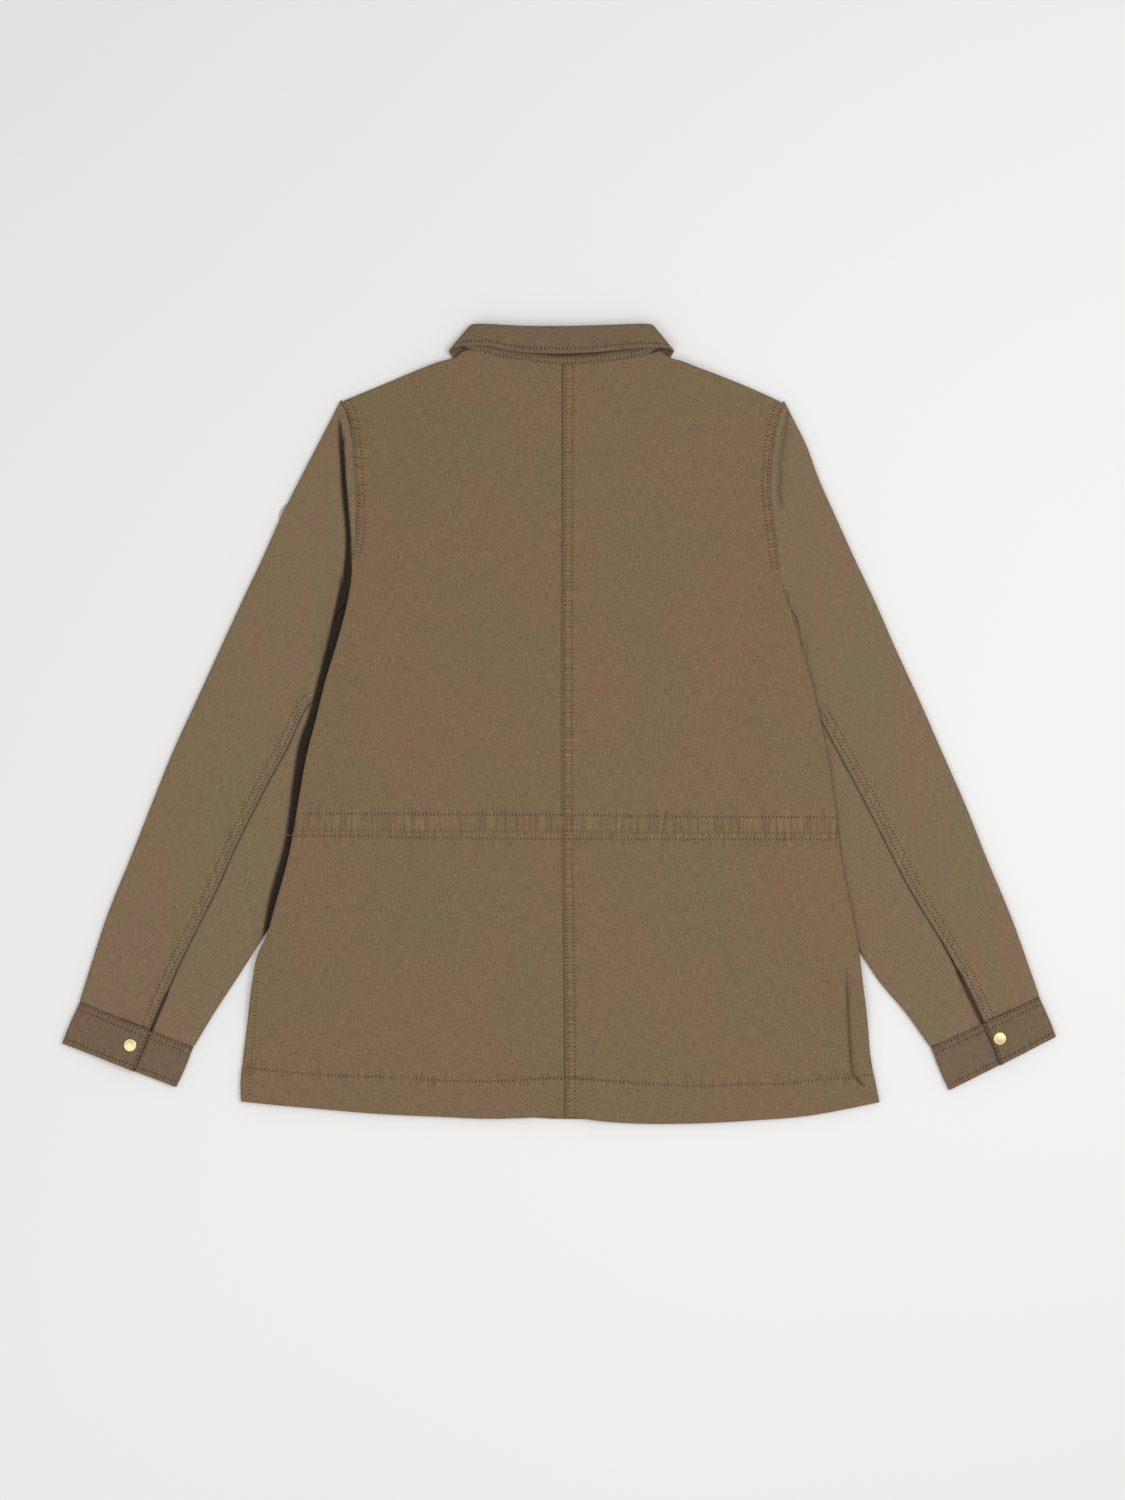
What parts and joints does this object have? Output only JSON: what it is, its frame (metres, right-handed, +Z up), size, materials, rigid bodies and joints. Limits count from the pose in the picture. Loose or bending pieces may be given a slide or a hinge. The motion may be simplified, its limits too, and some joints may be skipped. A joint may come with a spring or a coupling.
{
  "type": "safari jacket",
  "caption": "Collared cotton safari jacket laid flat with its back up: centre back seam, waist drawstring channel, long sleeves with snapped cuffs.",
  "frame": {"origin": "on the surface that the jacket lies on, below the middle of its outline", "axes": "+X towards the right of the jacket as it lies, which is the wearer's right, +Y towards the collar, +Z up out of its back"},
  "size_m": [0.9144, 0.7342, 0.011],
  "materials": {
    "body_cloth": "matte cotton twill",
    "sleeve_cloth": "matte cotton twill",
    "collar_cloth": "matte cotton twill",
    "cuff_cloth": "matte cotton twill",
    "brass": "polished",
    "badge_felt": "matte"
  },
  "bodies": {
    "root": {"back_left": "body_cloth", "back_right": "body_cloth", "front_left": "body_cloth", "front_right": "body_cloth", "collar": "collar_cloth", "sleeve_left_top": "sleeve_cloth", "sleeve_left_under": "sleeve_cloth", "sleeve_right_top": "sleeve_cloth", "sleeve_right_under": "sleeve_cloth", "cuff_left": "cuff_cloth", "cuff_right": "cuff_cloth", "snap_left": "brass", "snap_right": "brass", "sleeve_badge": "badge_felt"}
  },
  "joints": []
}
